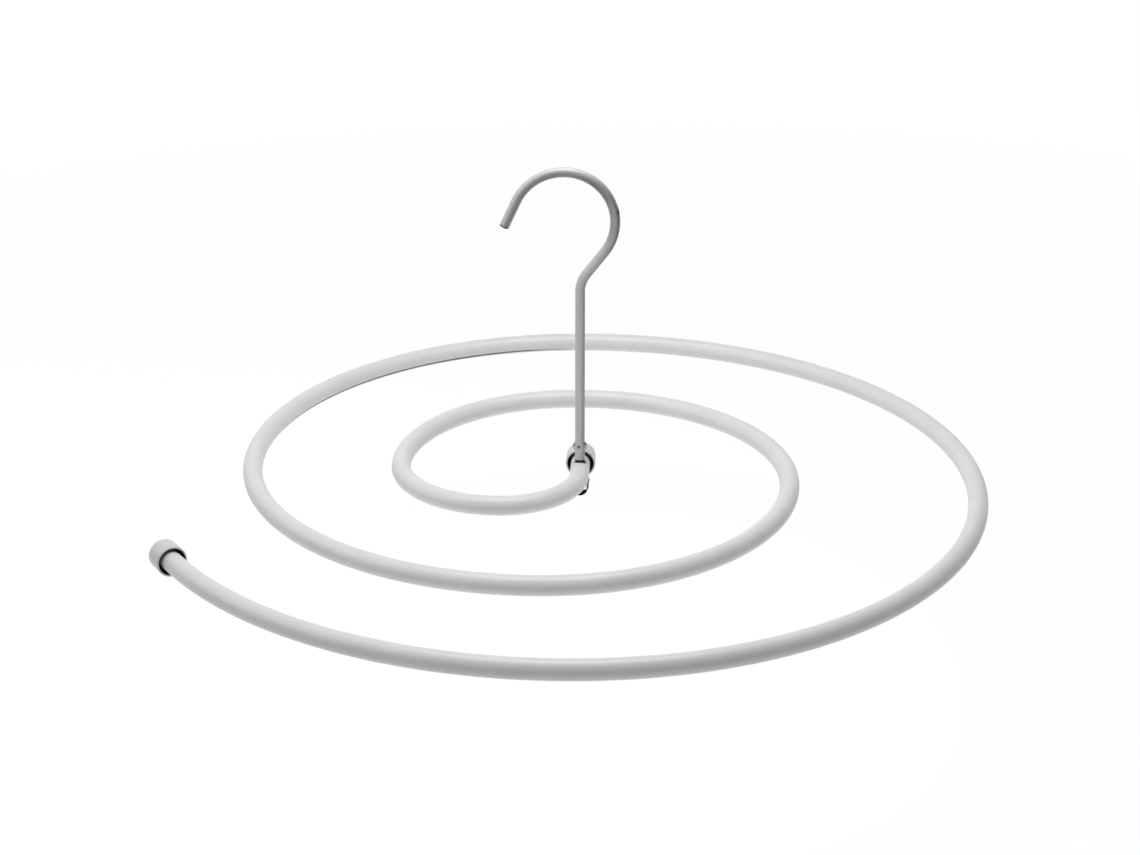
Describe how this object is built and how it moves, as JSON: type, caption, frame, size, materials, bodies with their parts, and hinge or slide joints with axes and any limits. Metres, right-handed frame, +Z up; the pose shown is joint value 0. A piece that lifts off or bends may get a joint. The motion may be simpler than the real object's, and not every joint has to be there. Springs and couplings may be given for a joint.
{
  "type": "spiral sheet hanger",
  "caption": "Flat spiral of coated steel tube on a swivelling wire hook, over which a wet bed sheet is wound to dry.",
  "frame": {"origin": "where a rail bears on the inside of the hook's crook, at its highest point", "axes": "+Z up along the hook's rod, +Y away from the viewer of the picture, +X to the viewer's right; the hook lies in the XZ plane"},
  "size_m": [0.4957, 0.4992, 0.2116],
  "materials": {
    "tube_coating": "pale grey-white plastic coating on steel tube, satin",
    "cap_plastic": "pale grey moulded plastic, half gloss",
    "hook_steel": "drawn stainless wire, satin",
    "washer_steel": "bright stainless, satin",
    "nut_chrome": "bright plated steel"
  },
  "bodies": {
    "hook_assembly": {"hook": "hook_steel", "washer": "washer_steel", "cap_nut": "nut_chrome"},
    "spiral": {"spiral_tube": "tube_coating", "inner_end_cap": "cap_plastic", "outer_end_cap": "cap_plastic"}
  },
  "joints": [
    {"name": "hook_swivel", "type": "hinge", "parent": "hook_assembly", "child": "spiral", "pos_m": [0.01007, 0, -0.1884], "axis": [0, 0, 1], "continuous": true}
  ]
}
